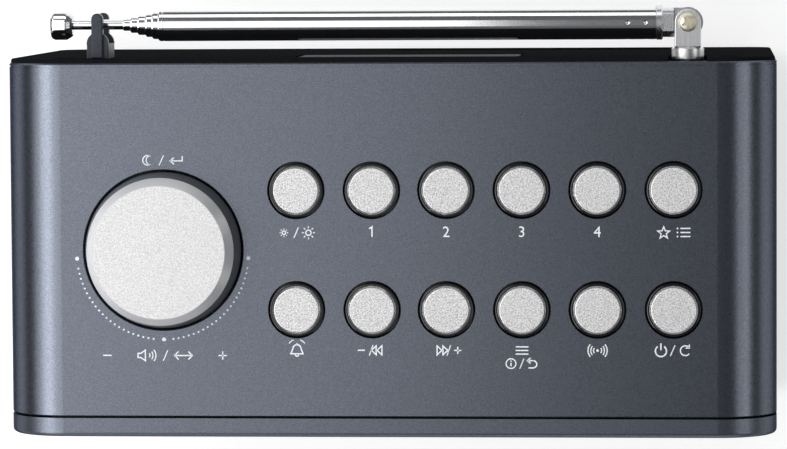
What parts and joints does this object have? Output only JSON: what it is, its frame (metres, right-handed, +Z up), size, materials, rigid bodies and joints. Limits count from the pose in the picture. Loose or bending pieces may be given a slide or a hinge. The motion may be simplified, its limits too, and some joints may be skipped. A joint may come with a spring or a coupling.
{
  "type": "tabletop radio",
  "caption": "Mains clock radio: rounded grey sleeve cabinet with a rotary knob and two rows of round push buttons on top, and a telescopic antenna stowed behind.",
  "frame": {"origin": "middle of the bottom of the whole object's box, on the plane that the rubber feet stand on", "axes": "+X to the right along the control panel, +Y to the rear where the antenna is, +Z up"},
  "size_m": [0.1824, 0.1012, 0.106],
  "materials": {
    "shell_grey": "satin metallic blue-grey moulded plastic",
    "grille_black": "matt black perforated grille",
    "display_window": "smoked gloss acrylic window",
    "display_panel": "display panel on its board",
    "gloss_black": "gloss black moulded plastic",
    "speaker_steel": "plated steel",
    "cone_paper": "pressed paper cone",
    "screw_steel": "zinc plated steel",
    "screw_black": "blackened steel screw",
    "circuit_board": "green laminate board with parts",
    "switch_black": "black moulded plastic",
    "zinc_metal": "bright zinc casting",
    "silver_paint": "fine metallic silver paint",
    "skirt_black": "gloss black moulded plastic",
    "foot_rubber": "soft black rubber",
    "antenna_chrome": "polished chrome plate",
    "hinge_brass": "pale brass screw"
  },
  "bodies": {
    "cabinet": {"cabinet_sleeve": "shell_grey", "front_bezel": "shell_grey", "speaker_grille": "grille_black", "display_lens": "display_window", "display_module": "display_panel", "rear_cover": "gloss_black", "speaker_frame": "speaker_steel", "speaker_cone": "cone_paper", "speaker_magnet": "speaker_steel", "speaker_screws": "screw_steel", "rear_cover_screws": "screw_black", "board_screws": "screw_steel", "main_board": "circuit_board", "control_board": "circuit_board", "tact_switches": "switch_black", "encoder_body": "zinc_metal", "dc_jack": "switch_black", "headphone_jack": "switch_black", "rubber_feet": "foot_rubber", "antenna_clip": "shell_grey", "antenna_base": "zinc_metal"},
    "button_dimmer": {"button_cap_dimmer": "silver_paint", "button_skirt_dimmer": "skirt_black"},
    "button_preset_1": {"button_cap_preset_1": "silver_paint", "button_skirt_preset_1": "skirt_black"},
    "button_preset_2": {"button_cap_preset_2": "silver_paint", "button_skirt_preset_2": "skirt_black"},
    "button_preset_3": {"button_cap_preset_3": "silver_paint", "button_skirt_preset_3": "skirt_black"},
    "button_preset_4": {"button_cap_preset_4": "silver_paint", "button_skirt_preset_4": "skirt_black"},
    "button_presets": {"button_cap_presets": "silver_paint", "button_skirt_presets": "skirt_black"},
    "button_alarm": {"button_cap_alarm": "silver_paint", "button_skirt_alarm": "skirt_black"},
    "button_tune_down": {"button_cap_tune_down": "silver_paint", "button_skirt_tune_down": "skirt_black"},
    "button_tune_up": {"button_cap_tune_up": "silver_paint", "button_skirt_tune_up": "skirt_black"},
    "button_menu": {"button_cap_menu": "silver_paint", "button_skirt_menu": "skirt_black"},
    "button_scan": {"button_cap_scan": "silver_paint", "button_skirt_scan": "skirt_black"},
    "button_power": {"button_cap_power": "silver_paint", "button_skirt_power": "skirt_black"},
    "encoder_push": {"encoder_push_plate": "switch_black"},
    "knob": {"encoder_shaft": "zinc_metal", "volume_knob": "shell_grey", "knob_cap": "silver_paint"},
    "antenna_swivel_fork": {"antenna_fork": "antenna_chrome", "antenna_hinge_screw": "hinge_brass"},
    "antenna_arm": {"antenna_hinge_block": "antenna_chrome", "antenna_tube_1": "antenna_chrome"},
    "antenna_section_2": {"antenna_tube_2": "antenna_chrome"},
    "antenna_section_3": {"antenna_tube_3": "antenna_chrome"},
    "antenna_section_4": {"antenna_tube_4": "antenna_chrome"},
    "antenna_section_5": {"antenna_tube_5": "antenna_chrome"},
    "antenna_section_6": {"antenna_tube_6": "antenna_chrome"},
    "antenna_section_7": {"antenna_rod": "antenna_chrome", "antenna_tip": "antenna_chrome"}
  },
  "joints": [
    {"name": "press_dimmer", "type": "slide", "parent": "cabinet", "child": "button_dimmer", "axis": [0, 0, -1], "range_m": [0, 0.0007], "stiffness_N_per_m": 450, "springref_m": -0.0015},
    {"name": "press_preset_1", "type": "slide", "parent": "cabinet", "child": "button_preset_1", "axis": [0, 0, -1], "range_m": [0, 0.0007], "stiffness_N_per_m": 450, "springref_m": -0.0015},
    {"name": "press_preset_2", "type": "slide", "parent": "cabinet", "child": "button_preset_2", "axis": [0, 0, -1], "range_m": [0, 0.0007], "stiffness_N_per_m": 450, "springref_m": -0.0015},
    {"name": "press_preset_3", "type": "slide", "parent": "cabinet", "child": "button_preset_3", "axis": [0, 0, -1], "range_m": [0, 0.0007], "stiffness_N_per_m": 450, "springref_m": -0.0015},
    {"name": "press_preset_4", "type": "slide", "parent": "cabinet", "child": "button_preset_4", "axis": [0, 0, -1], "range_m": [0, 0.0007], "stiffness_N_per_m": 450, "springref_m": -0.0015},
    {"name": "press_presets", "type": "slide", "parent": "cabinet", "child": "button_presets", "axis": [0, 0, -1], "range_m": [0, 0.0007], "stiffness_N_per_m": 450, "springref_m": -0.0015},
    {"name": "press_alarm", "type": "slide", "parent": "cabinet", "child": "button_alarm", "axis": [0, 0, -1], "range_m": [0, 0.0007], "stiffness_N_per_m": 450, "springref_m": -0.0015},
    {"name": "press_tune_down", "type": "slide", "parent": "cabinet", "child": "button_tune_down", "axis": [0, 0, -1], "range_m": [0, 0.0007], "stiffness_N_per_m": 450, "springref_m": -0.0015},
    {"name": "press_tune_up", "type": "slide", "parent": "cabinet", "child": "button_tune_up", "axis": [0, 0, -1], "range_m": [0, 0.0007], "stiffness_N_per_m": 450, "springref_m": -0.0015},
    {"name": "press_menu", "type": "slide", "parent": "cabinet", "child": "button_menu", "axis": [0, 0, -1], "range_m": [0, 0.0007], "stiffness_N_per_m": 450, "springref_m": -0.0015},
    {"name": "press_scan", "type": "slide", "parent": "cabinet", "child": "button_scan", "axis": [0, 0, -1], "range_m": [0, 0.0007], "stiffness_N_per_m": 450, "springref_m": -0.0015},
    {"name": "press_power", "type": "slide", "parent": "cabinet", "child": "button_power", "axis": [0, 0, -1], "range_m": [0, 0.0007], "stiffness_N_per_m": 450, "springref_m": -0.0015},
    {"name": "knob_push", "type": "slide", "parent": "cabinet", "child": "encoder_push", "axis": [0, 0, -1], "range_m": [0, 0.0006], "stiffness_N_per_m": 3000, "springref_m": -0.001},
    {"name": "knob_turn", "type": "hinge", "parent": "encoder_push", "child": "knob", "pos_m": [-0.053, -0.00637, 0.1], "axis": [0, 0, 1], "continuous": true},
    {"name": "antenna_swivel", "type": "hinge", "parent": "cabinet", "child": "antenna_swivel_fork", "pos_m": [0.0703, 0.04652, 0.084], "axis": [0, 1, 0], "range_deg": [0, 180]},
    {"name": "antenna_fold", "type": "hinge", "parent": "antenna_swivel_fork", "child": "antenna_arm", "pos_m": [0.0703, 0.04652, 0.084], "axis": [0, 0, -1], "range_deg": [0, 180]},
    {"name": "extend_1", "type": "slide", "parent": "antenna_arm", "child": "antenna_section_2", "axis": [-1, 0, 0], "range_m": [0, 0.092]},
    {"name": "extend_2", "type": "slide", "parent": "antenna_section_2", "child": "antenna_section_3", "axis": [-1, 0, 0], "range_m": [0, 0.092]},
    {"name": "extend_3", "type": "slide", "parent": "antenna_section_3", "child": "antenna_section_4", "axis": [-1, 0, 0], "range_m": [0, 0.092]},
    {"name": "extend_4", "type": "slide", "parent": "antenna_section_4", "child": "antenna_section_5", "axis": [-1, 0, 0], "range_m": [0, 0.092]},
    {"name": "extend_5", "type": "slide", "parent": "antenna_section_5", "child": "antenna_section_6", "axis": [-1, 0, 0], "range_m": [0, 0.092]},
    {"name": "extend_6", "type": "slide", "parent": "antenna_section_6", "child": "antenna_section_7", "axis": [-1, 0, 0], "range_m": [0, 0.092]}
  ]
}
